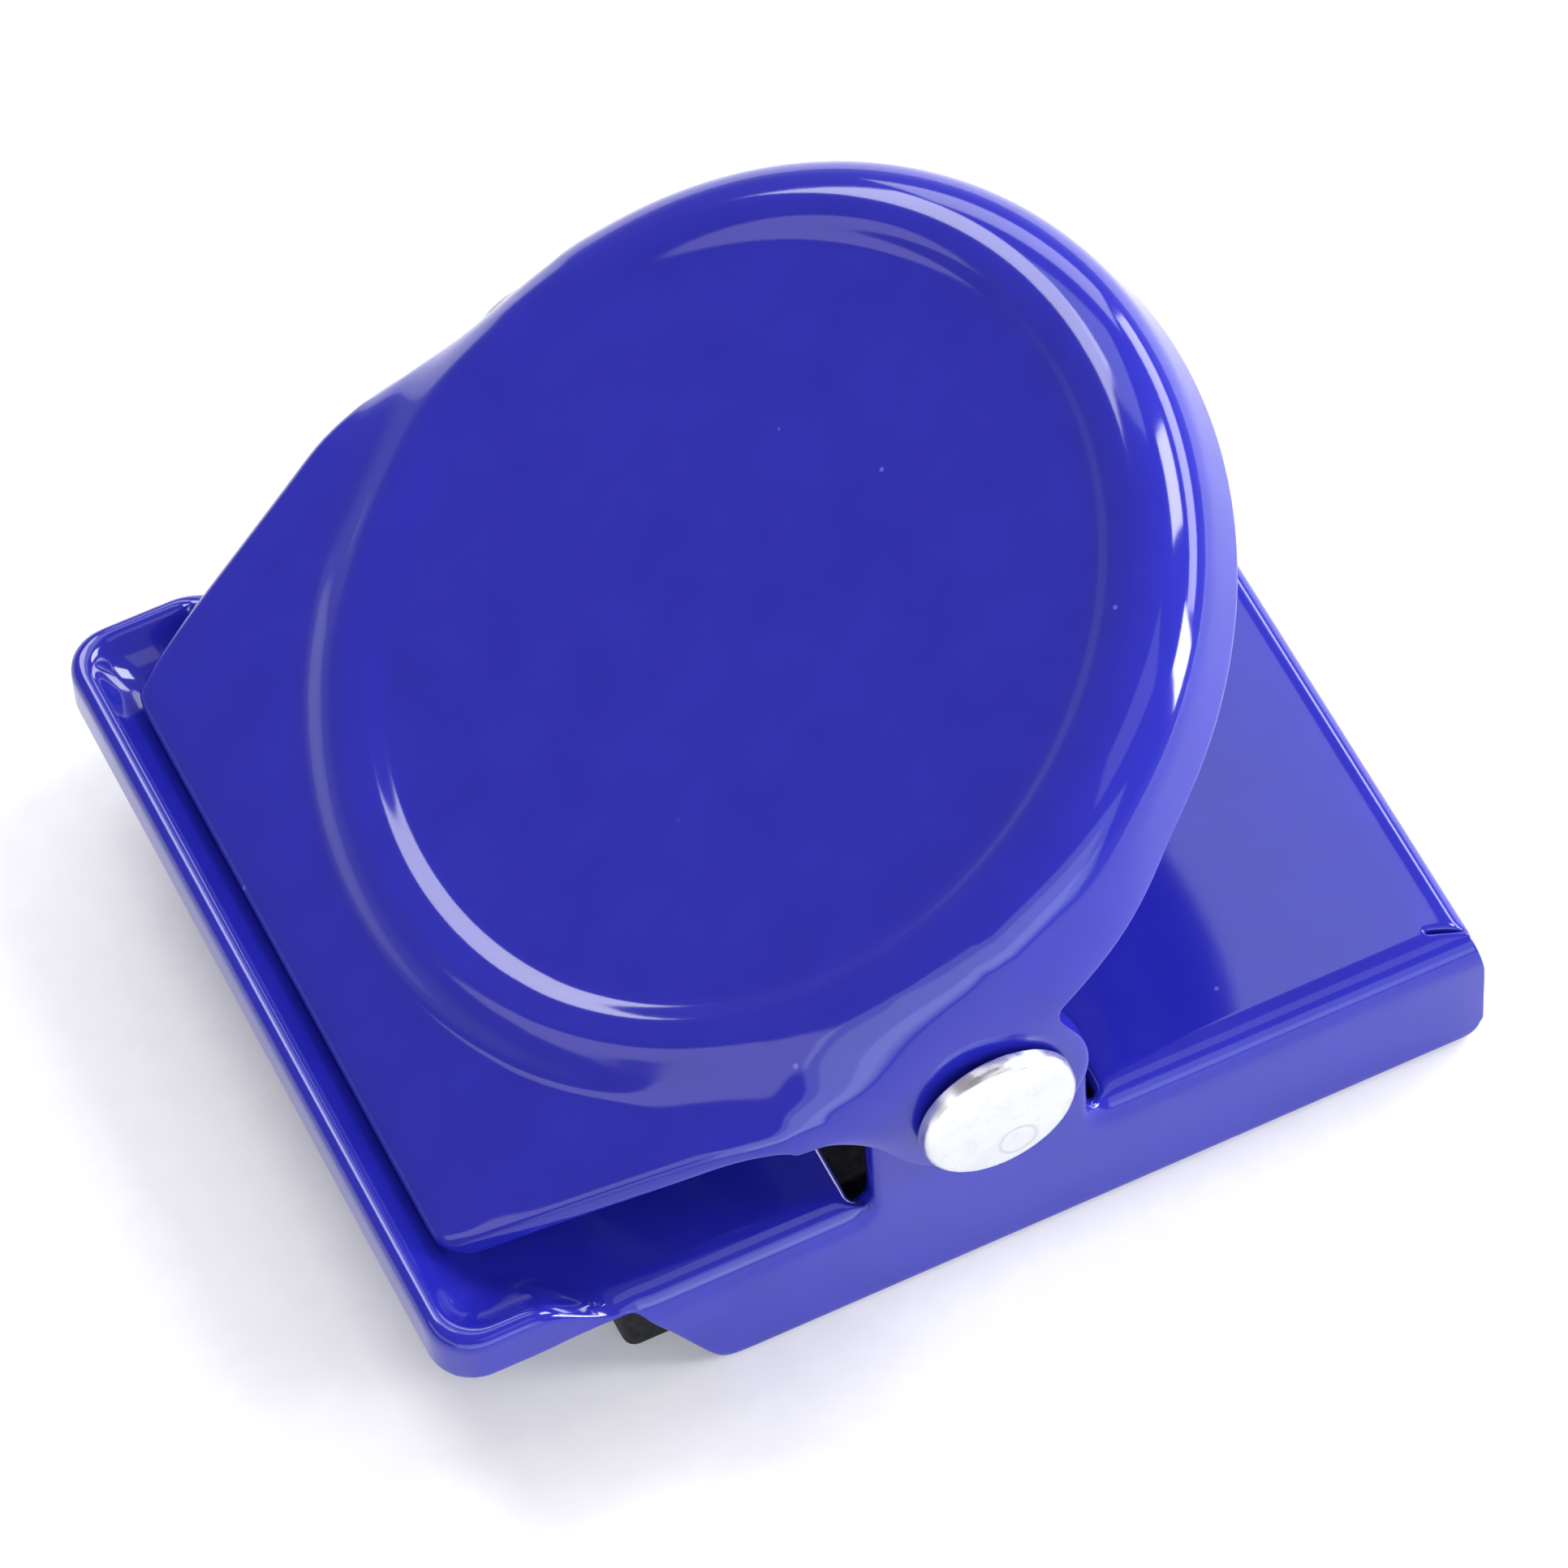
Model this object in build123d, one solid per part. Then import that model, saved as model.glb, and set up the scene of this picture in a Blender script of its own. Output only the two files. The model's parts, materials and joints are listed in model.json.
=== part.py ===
from build123d import *
import math
import os

# Magnetic paper clip: a folded steel tray with a magnet under it, and a sprung
# pressed-steel lever on a rivet. Millimetres, +Z up, jaw towards -X, origin at
# the middle of the footprint on the surface that the magnet sits on.

# Base tray
base_length = 35.0
base_width = 30.0
base_height = 5.0
sheet = 0.8
fold_radius = 1.2
front_corner_radius = 2.5
lip_rise = 0.1
lip_inner_radius = 0.6
lip_edge_radius = 0.4
lip_side_full = 2.8
lip_side_end = 6.0
wall_front = 6.2
wall_slant = 2.6
wall_corner_radius = 0.9
rear_seam = 0.25
rear_seam_length = 1.6

# Magnet and its adhesive
magnet_proud = 0.2
magnet_side_gap = 0.9
magnet_setback = 6.4
magnet_rear_gap = 0.4
magnet_edge_radius = 0.4
adhesive_thickness = 0.2
adhesive_end_margin = 1.7
adhesive_side_margin = 0.6

# Pivot
pin_from_front = 17.75
pin_above_plate = 4.5
pin_diameter = 2.2
pin_fit = 0.03
lever_fit = 0.06
head_diameter = 5.1
head_thickness = 0.6
head_edge_radius = 0.2
head_play = 0.12
cap_floor = 0.2
cap_fit = 0.02

# Base ears and the windows that they were cut from
base_ear_half_width = 3.65
base_ear_shoulder_drop = 1.2
base_ear_top_half_width = 1.2
base_ear_top_rise = 1.8
base_ear_corner_radius = 0.8
window_relief = 0.5
window_edge_inset = 0.4

# Lever, measured in its own flat frame from the middle of the dish floor
ear_gap = 0.1
ear_radius = 3.35
ear_front_fillet = 1.8
ear_bend_front = 0.95
ear_bend_rear = 3.0
pin_ahead_of_dish = 2.07
pin_below_dish = 5.1
dish_floor_radius = 12.1
crest_radius = 13.2
crest_height = 0.35
disc_radius = 15.3
skirt_depth = 3.5
notch_radius = 0.8
jaw_level = -0.2
jaw_reach = 18.2
jaw_half_width = 11.3
jaw_corner_radius = 1.6
jaw_flare_end = 7.1
jaw_strip = 1.9
jaw_strip_angle = 7.0
jaw_gap = 0.05

# Torsion spring
wire_diameter = 1.1
coil_radius = 2.7
coil_turns = 5
coil_gap = 0.5
lower_leg_reach = 10.5
upper_leg_reach = 9.5
leg_gap = 0.05

# Places worked out from the sizes above
front_x = -base_length / 2
rear_x = base_length / 2
half_width = base_width / 2
plate_top = magnet_proud + base_height
plate_bottom = plate_top - sheet
pin_x = front_x + pin_from_front
pin_z = plate_top + pin_above_plate
pin_radius = pin_diameter / 2
wire_radius = wire_diameter / 2
lever_ear_inner = half_width + ear_gap
lever_ear_outer = lever_ear_inner + sheet
head_inner = lever_ear_outer + head_play
head_outer = head_inner + head_thickness
lip_width = sheet + lip_inner_radius
lip_height = lip_inner_radius + lip_rise + sheet / 2
jaw_strip_drop = jaw_strip * math.tan(math.radians(jaw_strip_angle))


def jaw_closed_tilt():
    """Angle at which the jaw's lower edge comes to rest on the plate."""
    along = pin_ahead_of_dish - jaw_reach
    above = jaw_level - sheet - jaw_strip_drop + pin_below_dish
    reach = math.hypot(along, above)
    fall = math.asin((pin_above_plate - jaw_gap) / reach)
    return math.degrees(math.pi + fall - math.atan2(above, along))


lever_tilt = jaw_closed_tilt()
lever_place = (
    Pos(pin_x, 0, pin_z)
    * Rot(0, -lever_tilt, 0)
    * Pos(pin_ahead_of_dish, 0, pin_below_dish)
)


def prism_along_y(outline, near, far):
    """Extrude an outline drawn in X and Z between two values of Y."""
    return extrude(Plane.XZ.offset(-near) * outline, amount=near - far)


def both_sides(shape):
    return shape + mirror(shape, Plane.XZ)


def spun(outline, first, last):
    """Turn an outline drawn in radius and height about Z between two angles."""
    turned = Rot(0, 0, first) * (Plane.XZ * outline)
    return revolve(turned, axis=Axis.Z, revolution_arc=last - first)


def step_curve(start, end):
    """Two equal arcs that leave one level and arrive at another."""
    middle = ((start[0] + end[0]) / 2, (start[1] + end[1]) / 2)
    return [
        TangentArc(start, middle, tangent=(1, 0)),
        TangentArc(end, middle, tangent=(-1, 0)),
    ]


def lowered(curves):
    """The same curves on the sheet's under side."""
    return [Pos(0, -sheet) * curve for curve in curves]


# Base tray
def tray_channel():
    """Plate with both long sides folded down, from the wall front to the rear."""
    outer = Pos(0, magnet_proud + base_height / 2) * Rectangle(base_width, base_height)
    outer = fillet(outer.vertices().group_by(Axis.Y)[-1], fold_radius)
    hollow = Pos(0, magnet_proud + (base_height - sheet) / 2) * Rectangle(
        base_width - 2 * sheet, base_height - sheet
    )
    hollow = fillet(hollow.vertices().group_by(Axis.Y)[-1], fold_radius - sheet)
    start = Plane(origin=(front_x + wall_front, 0, 0), x_dir=(0, 1, 0), z_dir=(1, 0, 0))
    return extrude(start * (outer - hollow), amount=base_length - wall_front)


def wall_front_cut():
    """Slanted front ends of the two side walls, with a rounded lower corner."""
    foot = (front_x + wall_front + wall_slant, magnet_proud)
    outline = make_face(Polyline(
        (front_x, plate_bottom),
        (front_x + wall_front, plate_bottom),
        foot,
        (rear_x, magnet_proud),
        (rear_x, -base_height),
        (front_x, -base_height),
        close=True,
    ))
    outline = fillet(outline.vertices().sort_by_distance(foot)[0], wall_corner_radius)
    return prism_along_y(outline, -base_width, base_width)


def rear_corner_cut():
    """Material outside the rounded lower rear corner of each side wall."""
    start = rear_x - wall_corner_radius
    top = magnet_proud + wall_corner_radius
    outline = make_face([
        Line((start, magnet_proud), (rear_x, magnet_proud)),
        Line((rear_x, magnet_proud), (rear_x, top)),
        TangentArc((start, magnet_proud), (rear_x, top), tangent=(1, 0)),
    ])
    return prism_along_y(outline, -base_width, base_width)


def rear_flange():
    """Rear edge turned down between the two side walls."""
    half_span = half_width - fold_radius - rear_seam
    low = magnet_proud
    bend_start = rear_x - fold_radius
    inner_x = rear_x - sheet
    outline = make_face([
        Line((bend_start, plate_bottom), (bend_start, plate_top)),
        TangentArc((bend_start, plate_top), (rear_x, plate_top - fold_radius), tangent=(1, 0)),
        Line((rear_x, plate_top - fold_radius), (rear_x, low)),
        Line((rear_x, low), (inner_x, low)),
        Line((inner_x, low), (inner_x, plate_top - fold_radius)),
        TangentArc((bend_start, plate_bottom), (inner_x, plate_top - fold_radius), tangent=(1, 0)),
    ])
    return prism_along_y(outline, -half_span, half_span)


def rear_relief():
    """Room in the channel for the rear fold and the seam at each end of it."""
    clear = Pos(rear_x, 0, plate_top) * Box(
        2 * fold_radius, base_width - 2 * fold_radius, 2 * sheet + fold_radius
    )
    slit_middle = half_width - fold_radius - rear_seam / 2
    slit = Pos(rear_x, slit_middle, plate_top) * Box(
        2 * rear_seam_length, rear_seam, 2 * sheet + fold_radius
    )
    return clear + both_sides(slit)


def front_lip():
    """Rolled-up front edge that runs round both corners and fades along the sides."""
    start_x = front_x + wall_front
    inner_z = plate_top + lip_inner_radius
    top_z = inner_z + lip_rise
    edge = lip_edge_radius
    outline = make_face([
        Line((lip_width, plate_bottom), (edge, plate_bottom)),
        TangentArc((edge, plate_bottom), (0, plate_bottom + edge), tangent=(-1, 0)),
        Line((0, plate_bottom + edge), (0, top_z)),
        TangentArc((0, top_z), (sheet, top_z), tangent=(0, 1)),
        Line((sheet, top_z), (sheet, inner_z)),
        TangentArc((lip_width, plate_top), (sheet, inner_z), tangent=(-1, 0)),
        Line((lip_width, plate_top), (lip_width, plate_bottom)),
    ])
    r = front_corner_radius
    path = Wire([
        Line((start_x, -half_width), (front_x + r, -half_width)),
        TangentArc((front_x + r, -half_width), (front_x, r - half_width), tangent=(-1, 0)),
        Line((front_x, r - half_width), (front_x, half_width - r)),
        TangentArc((front_x, half_width - r), (front_x + r, half_width), tangent=(0, 1)),
        Line((front_x + r, half_width), (start_x, half_width)),
    ])
    start = Plane(origin=(start_x, -half_width, 0), x_dir=(0, 1, 0), z_dir=(1, 0, 0))
    lip = sweep(start * outline, path=path)
    fade = Polyline(
        (front_x + lip_side_full, plate_top + lip_height),
        (front_x + lip_side_end, plate_top),
        (start_x + lip_width, plate_top),
        (start_x + lip_width, plate_top + 2 * lip_height),
        (front_x + lip_side_full, plate_top + 2 * lip_height),
        close=True,
    )
    return lip - prism_along_y(make_face(fade), -base_width, base_width)


def jaw_slab():
    """Flat sheet between the lip and the channel."""
    length = wall_front - lip_width
    middle = front_x + lip_width + length / 2
    width = base_width - 2 * lip_width
    return Pos(middle, 0, plate_top - sheet / 2) * Box(length, width, sheet)


def base_ear():
    """Tab of the side wall that stands up and carries the rivet."""
    foot_z = plate_top - fold_radius
    shoulder_z = pin_z - base_ear_shoulder_drop
    top_z = pin_z + base_ear_top_rise
    outline = make_face(Polyline(
        (pin_x - base_ear_half_width, foot_z),
        (pin_x - base_ear_half_width, shoulder_z),
        (pin_x - base_ear_top_half_width, top_z),
        (pin_x + base_ear_top_half_width, top_z),
        (pin_x + base_ear_half_width, shoulder_z),
        (pin_x + base_ear_half_width, foot_z),
        close=True,
    ))
    corners = outline.vertices().sort_by(Axis.Y)[2:]
    outline = fillet(corners, base_ear_corner_radius)
    return prism_along_y(outline, half_width - sheet, half_width)


def window():
    """Hole left in the plate where an ear was cut and stood up."""
    half_length = base_ear_half_width + window_relief
    ear_rise = pin_above_plate + base_ear_top_rise
    outer = half_width - window_edge_inset
    inner = half_width - sheet - ear_rise
    return Pos(pin_x, (outer + inner) / 2, plate_top) * Box(
        2 * half_length, outer - inner, 2 * fold_radius
    )


def base_plate():
    tray = tray_channel() - wall_front_cut()
    tray -= rear_corner_cut()
    tray -= rear_relief()
    tray += rear_flange()
    tray += jaw_slab()
    tray += front_lip()
    tray -= both_sides(window())
    tray += both_sides(base_ear())
    hole = Pos(pin_x, 0, pin_z) * Rot(90, 0, 0) * Cylinder(pin_radius + pin_fit, 2 * base_width)
    return tray - hole


# Lever
crest = (crest_radius, crest_height)
notch = ear_radius - pin_ahead_of_dish
shoulder_radius = disc_radius - crest_radius
shoulder_low = crest_height - shoulder_radius
ear_start_angle = 90 + math.degrees(math.asin(jaw_flare_end / disc_radius))


def shoulder_point(radius, height):
    """Where the rim's outer curve, at the given bend radius, comes down to a height."""
    return (crest_radius + math.sqrt(radius**2 - (height - shoulder_low) ** 2), height)


def dish_profile(outer, inner):
    """Dish floor, the step up to its rim and the rim's curve down to two given ends."""
    edge = (dish_floor_radius, 0)
    dish = [Line((0, 0), edge)] + step_curve(edge, crest)
    return dish + lowered(dish) + [
        Line((0, 0), (0, -sheet)),
        TangentArc(crest, outer, tangent=(1, 0)),
        TangentArc((crest_radius, crest_height - sheet), inner, tangent=(1, 0)),
    ]


def front_half():
    """Dish whose rim comes down to the level of the jaw."""
    under = jaw_level - sheet
    outer = shoulder_point(shoulder_radius, jaw_level)
    inner = shoulder_point(shoulder_radius - sheet, under)
    curves = dish_profile(outer, inner) + [
        Line(outer, (disc_radius, jaw_level)),
        Line((disc_radius, jaw_level), (disc_radius, under)),
        Line((disc_radius, under), inner),
    ]
    return spun(make_face(curves), ear_start_angle, 360 - ear_start_angle)


def rear_half():
    """Dish whose rim turns down to the skirt, from ear to ear."""
    outer = (disc_radius, shoulder_low)
    inner = (disc_radius - sheet, shoulder_low)
    curves = dish_profile(outer, inner) + [Line(outer, inner)]
    return spun(make_face(curves), -ear_start_angle, ear_start_angle)


def skirt():
    """Skirt below the shoulder, from one ear's notch round to the other's."""
    height = shoulder_low + skirt_depth
    strip = Pos(disc_radius - sheet / 2, shoulder_low - height / 2) * Rectangle(sheet, height)
    reach = 90 - math.degrees(math.asin(notch / disc_radius))
    corner = (
        Pos(notch, half_width, -skirt_depth) * Rot(90, 0, 0) * Cylinder(notch_radius, half_width)
    )
    return spun(strip, -reach, reach) - both_sides(corner)


def jaw_plate():
    """Flat jaw with a strip along its tip bent a little further down."""
    strip_start = jaw_strip - jaw_reach
    upper = [
        (-jaw_reach, jaw_level - jaw_strip_drop),
        (strip_start, jaw_level),
        (0, jaw_level),
    ]
    lower = [(x, z - sheet) for x, z in reversed(upper)]
    side = make_face(Polyline(*upper, *lower, close=True))
    flat = lever_ear_outer - ear_bend_rear
    plan = make_face(Polyline(
        (-jaw_reach, -jaw_half_width),
        (-jaw_flare_end, -lever_ear_outer),
        (-jaw_flare_end, -flat),
        (0, -flat),
        (0, flat),
        (-jaw_flare_end, flat),
        (-jaw_flare_end, lever_ear_outer),
        (-jaw_reach, jaw_half_width),
        close=True,
    ))
    plan = fillet(plan.vertices().group_by(Axis.X)[0], jaw_corner_radius)
    slab = prism_along_y(side, -base_width, base_width)
    slab &= Pos(0, 0, -base_height) * extrude(plan, amount=2 * base_height)
    return slab - Cylinder(disc_radius, 4 * base_height)


def ear_section(u, bend):
    """Cross section of an ear: level leg, bend of the given radius, upright leg."""
    outer = lever_ear_outer
    inner_start = outer - ear_bend_rear - sheet
    low = jaw_level - bend
    foot = -pin_below_dish - 2 * ear_radius
    outline = make_face([
        Line((inner_start, jaw_level), (outer - bend, jaw_level)),
        TangentArc((outer - bend, jaw_level), (outer, low), tangent=(1, 0)),
        Line((outer, low), (outer, foot)),
        Line((outer, foot), (outer - sheet, foot)),
        Line((outer - sheet, foot), (outer - sheet, low)),
        TangentArc((outer - bend, jaw_level - sheet), (outer - sheet, low), tangent=(1, 0)),
        Line((outer - bend, jaw_level - sheet), (inner_start, jaw_level - sheet)),
        Line((inner_start, jaw_level - sheet), (inner_start, jaw_level)),
    ])
    return Plane(origin=(u, 0, 0), x_dir=(0, 1, 0), z_dir=(1, 0, 0)) * outline


def lever_ear():
    """Side tab that folds down outside the base ear and turns on the rivet."""
    front = -jaw_flare_end
    front_edge = -ear_radius - pin_ahead_of_dish
    bent = loft([ear_section(front, ear_bend_front), ear_section(notch, ear_bend_rear)], ruled=True)
    top = jaw_level + sheet
    under = jaw_level - sheet
    side = make_face([
        Line((front, top), (front, under)),
        Line((front, under), (front_edge - ear_front_fillet, under)),
        TangentArc(
            (front_edge - ear_front_fillet, under),
            (front_edge, under - ear_front_fillet),
            tangent=(1, 0),
        ),
        Line((front_edge, under - ear_front_fillet), (front_edge, -pin_below_dish)),
        TangentArc((front_edge, -pin_below_dish), (notch, -pin_below_dish), tangent=(0, -1)),
        Line((notch, -pin_below_dish), (notch, top)),
        Line((notch, top), (front, top)),
    ])
    return bent & prism_along_y(side, 0, base_width)


def clamp_lever():
    lever = front_half() + rear_half() + skirt()
    lever += jaw_plate()
    lever += both_sides(lever_ear())
    hole = (
        Pos(-pin_ahead_of_dish, 0, -pin_below_dish)
        * Rot(90, 0, 0)
        * Cylinder(pin_radius + lever_fit, 2 * base_width)
    )
    return lever_place * (lever - hole)


# Rivet, with its head on the near side, and the cap on its far end
def round_bar(radius, near, far):
    """Bar on the rivet's axis between two values of Y."""
    return Pos(pin_x, (near + far) / 2, pin_z) * Rot(90, 0, 0) * Cylinder(radius, far - near)


def rivet_head(near, far):
    disc = round_bar(head_diameter / 2, near, far)
    return fillet(disc.edges().filter_by(GeomType.CIRCLE), head_edge_radius)


def pivot_rivet():
    return rivet_head(-head_outer, -head_inner) + round_bar(
        pin_radius, -head_inner, head_outer - cap_floor
    )


def rivet_cap():
    return rivet_head(head_inner, head_outer) - round_bar(
        pin_radius + cap_fit, 0, head_outer - cap_floor
    )


# Magnet block glued under the plate
magnet_start = front_x + magnet_setback
magnet_end = rear_x - sheet - magnet_rear_gap
magnet_middle = (magnet_start + magnet_end) / 2
magnet_length = magnet_end - magnet_start


def magnet():
    width = base_width - 2 * sheet - 2 * magnet_side_gap
    height = plate_bottom - adhesive_thickness
    block = Pos(magnet_middle, 0, height / 2) * Box(magnet_length, width, height)
    return fillet(block.edges().filter_by(Axis.Z), magnet_edge_radius)


def magnet_adhesive():
    """Pad between the two windows, a little shorter than the magnet."""
    ear_rise = pin_above_plate + base_ear_top_rise
    length = magnet_length - 2 * adhesive_end_margin
    width = 2 * (half_width - sheet - ear_rise - adhesive_side_margin)
    return Pos(magnet_middle, 0, plate_bottom - adhesive_thickness / 2) * Box(
        length, width, adhesive_thickness
    )


# Torsion spring, wound on the rivet with one leg on the plate and one under the dish
def leg_tangent(end_x, end_z, side):
    """Angle on the coil where a straight leg from the given end leaves it."""
    away = math.hypot(end_x, end_z)
    return math.atan2(end_z, end_x) + side * math.acos(coil_radius / away)


def spring_path():
    pitch = wire_diameter + coil_gap
    lower_z = leg_gap + wire_radius - pin_above_plate
    start = leg_tangent(lower_leg_reach, lower_z, -1)
    tilt = math.radians(lever_tilt)
    above = pin_below_dish - sheet - leg_gap - wire_radius
    upper_x = upper_leg_reach * math.cos(tilt) - above * math.sin(tilt)
    upper_z = upper_leg_reach * math.sin(tilt) + above * math.cos(tilt)
    stop = leg_tangent(upper_x, upper_z, 1)
    turn = (stop - start) % (2 * math.pi) - 2 * math.pi
    sweep_angle = turn - 2 * math.pi * coil_turns
    climb = pitch / (2 * math.pi)
    middle = climb * sweep_angle / 2

    def place(angle):
        along = middle - climb * (angle - start)
        return Vector(
            pin_x + coil_radius * math.cos(angle), along, pin_z + coil_radius * math.sin(angle)
        )

    def heading(angle):
        return Vector(
            coil_radius * math.sin(angle), climb, -coil_radius * math.cos(angle)
        ).normalized()

    quarters = math.ceil(-sweep_angle / (math.pi / 2))
    angles = [start + sweep_angle * i / quarters for i in range(quarters + 1)]
    first = place(start)
    last = place(start + sweep_angle)
    lower_length = math.sqrt(lower_leg_reach**2 + lower_z**2 - coil_radius**2)
    upper_length = math.sqrt(upper_x**2 + upper_z**2 - coil_radius**2)
    edges = [Line(first - heading(start) * lower_length, first)]
    for a, b in zip(angles, angles[1:]):
        edges += biarc(place(a), heading(a), place(b), heading(b))
    edges.append(Line(last, last + heading(start + sweep_angle) * upper_length))
    return Wire(edges)


def biarc(p, p_heading, q, q_heading):
    """Two arcs that join two points and keep the given headings."""
    chord = q - p
    both = p_heading + q_heading
    a = 2 * (1 - p_heading.dot(q_heading))
    b = chord.dot(both)
    reach = (math.sqrt(b * b + a * chord.dot(chord)) - b) / a
    joint = (p + p_heading * reach + q - q_heading * reach) * 0.5
    return [
        TangentArc(p, joint, tangent=p_heading),
        TangentArc(q, joint, tangent=q_heading * -1),
    ]


def torsion_spring():
    path = spring_path()
    start = Plane(origin=path @ 0, z_dir=path % 0)
    return sweep(start * Circle(wire_radius), path=path)


def least_gap_to_itself(path, steps=1200):
    """Smallest clear distance between stretches of wire more than half a turn apart."""
    points = [path @ (i / steps) for i in range(steps + 1)]
    apart = int(steps * math.pi * coil_radius / path.length)
    near = min(
        (points[j] - points[i]).length
        for i in range(steps + 1)
        for j in range(i + apart, steps + 1)
    )
    return near - wire_diameter


pieces = {
    "base_plate": base_plate(),
    "clamp_lever": clamp_lever(),
    "pivot_rivet": pivot_rivet(),
    "rivet_cap": rivet_cap(),
    "torsion_spring": torsion_spring(),
    "magnet": magnet(),
    "magnet_adhesive": magnet_adhesive(),
}
os.makedirs("parts", exist_ok=True)
for name, shape in pieces.items():
    export_step(shape, f"parts/{name}.step")
print(f"lever tilt {lever_tilt:.2f} degrees, pin at x {pin_x:.2f}, z {pin_z:.2f}")
print(f"spring's least gap to itself {least_gap_to_itself(spring_path()):.2f} mm")
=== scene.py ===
# %% [markdown]
# # A magnetic paper clip holder
# A blue enamelled spring clip on a magnet. The CAD frame gives the size and the places, and each cell
# below gives one piece its looks. Sizes in the cells are in millimetres, and the scene is in metres.

# %% Load the frame
import json
import math

import bmesh
import bpy
from mathutils import Matrix, Quaternion, Vector


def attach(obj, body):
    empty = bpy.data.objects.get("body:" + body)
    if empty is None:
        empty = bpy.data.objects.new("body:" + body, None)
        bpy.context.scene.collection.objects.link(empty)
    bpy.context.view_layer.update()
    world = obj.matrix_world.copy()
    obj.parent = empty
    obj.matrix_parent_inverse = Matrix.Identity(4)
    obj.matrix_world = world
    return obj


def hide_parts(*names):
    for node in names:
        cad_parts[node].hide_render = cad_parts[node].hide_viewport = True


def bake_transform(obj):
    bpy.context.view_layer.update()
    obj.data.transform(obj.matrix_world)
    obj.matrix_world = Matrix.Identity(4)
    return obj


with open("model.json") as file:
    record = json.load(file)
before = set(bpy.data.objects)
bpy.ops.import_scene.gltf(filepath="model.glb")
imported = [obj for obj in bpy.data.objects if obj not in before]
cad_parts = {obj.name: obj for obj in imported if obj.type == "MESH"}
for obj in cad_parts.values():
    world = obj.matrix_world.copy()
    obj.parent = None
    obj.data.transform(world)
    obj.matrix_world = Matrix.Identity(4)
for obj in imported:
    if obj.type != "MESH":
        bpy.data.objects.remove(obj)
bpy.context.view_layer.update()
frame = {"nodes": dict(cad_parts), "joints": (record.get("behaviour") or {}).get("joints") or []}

MM = 0.001
pin = Vector(frame["joints"][0]["pos_m"]) / MM
print("pin of the hinge, mm:", [round(c, 3) for c in pin])

# %% [markdown]
# The camera stands where the photograph was taken from: high, in front of the jaw and a little to the
# side of it, with a long lens, so that the clip is drawn almost without perspective. It could be set by
# eye. These angles come from a fit to the clip's straight edges and circles instead, because then the
# outline of the model can be laid over the photograph's.

# %% Camera
view_azimuth = -22.093
view_elevation = 56.044
view_roll = -3.942
view_distance = 316.4
view_centre = Vector((-0.5, 0.0, 5.2))
aim_point = Vector((0.781, -0.104, 5.460))
azimuth = math.radians(view_azimuth)
elevation = math.radians(view_elevation)
towards_camera = Vector((
    math.sin(azimuth) * math.cos(elevation),
    -math.cos(azimuth) * math.cos(elevation),
    math.sin(elevation),
))
camera_data = bpy.data.cameras.new("camera")
camera_data.lens = 234.18
camera_data.clip_start = 0.01
camera_data.clip_end = 10
camera = bpy.data.objects.new("camera", camera_data)
bpy.context.scene.collection.objects.link(camera)
camera.location = (view_centre + view_distance * towards_camera) * MM
look = aim_point * MM - camera.location
turn = look.to_track_quat("-Z", "Y") @ Quaternion((0, 0, 1), math.radians(view_roll))
camera.rotation_euler = turn.to_euler()
bpy.context.scene.camera = camera
bpy.context.scene.view_settings.view_transform = "Standard"
print("camera, mm from the aim point:", round(look.length / MM, 1))

# %% [markdown]
# Blue enamel is a hard glossy paint with a saturated pigment. A clear coat over a dull base could give that
# gloss. One glossy layer is used here, because it is simpler. All its textures lie on the piece's own
# coordinates, so they stay where they are on the sheet when it moves.

# %% Enamel: a glossy material
def shader(name):
    """A new material and its node tree, its surface shader and its object coordinates."""
    material = bpy.data.materials.new(name)
    material.use_nodes = True
    tree = material.node_tree
    surface = tree.nodes["Principled BSDF"]
    place = tree.nodes.new("ShaderNodeTexCoord")
    return material, tree, surface, place.outputs["Object"]


enamel, tree, surface, place = shader("blue_enamel")
surface.inputs["Roughness"].default_value = 0.09
surface.inputs["IOR"].default_value = 1.52
print("new material:", enamel.name)

# %% [markdown]
# The pigment varies a little, and a few specks of dust are caught in the paint. An image could show both,
# but a noise and a cell texture have no seams and stay sharp at any size.

# %% Enamel: pigment and dust
def noise(tree, place, scale, detail=2.0):
    """A noise texture of so many cells to a metre, on object coordinates."""
    node = tree.nodes.new("ShaderNodeTexNoise")
    node.inputs["Scale"].default_value = scale
    node.inputs["Detail"].default_value = detail
    tree.links.new(place, node.inputs["Vector"])
    return node.outputs["Fac"]


def ramp(tree, value, *stops):
    """A colour ramp over a value, its stops given as a position and a colour."""
    node = tree.nodes.new("ShaderNodeValToRGB")
    band = node.color_ramp
    for position, colour in stops[2:]:
        band.elements.new(position)
    for element, (position, colour) in zip(band.elements, sorted(stops)):
        element.position = position
        element.color = (*colour, 1)
    tree.links.new(value, node.inputs["Fac"])
    return node.outputs["Color"]


def plain_mix(tree, share, first, second):
    """The colour between a texture's colour and a plain one, by a share."""
    node = tree.nodes.new("ShaderNodeMix")
    node.data_type = "RGBA"
    tree.links.new(share, node.inputs["Factor"])
    tree.links.new(first, node.inputs["A"])
    node.inputs["B"].default_value = (*second, 1)
    return node.outputs["Result"]


def grey(level):
    """A grey of one level."""
    return (level, level, level)


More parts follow.
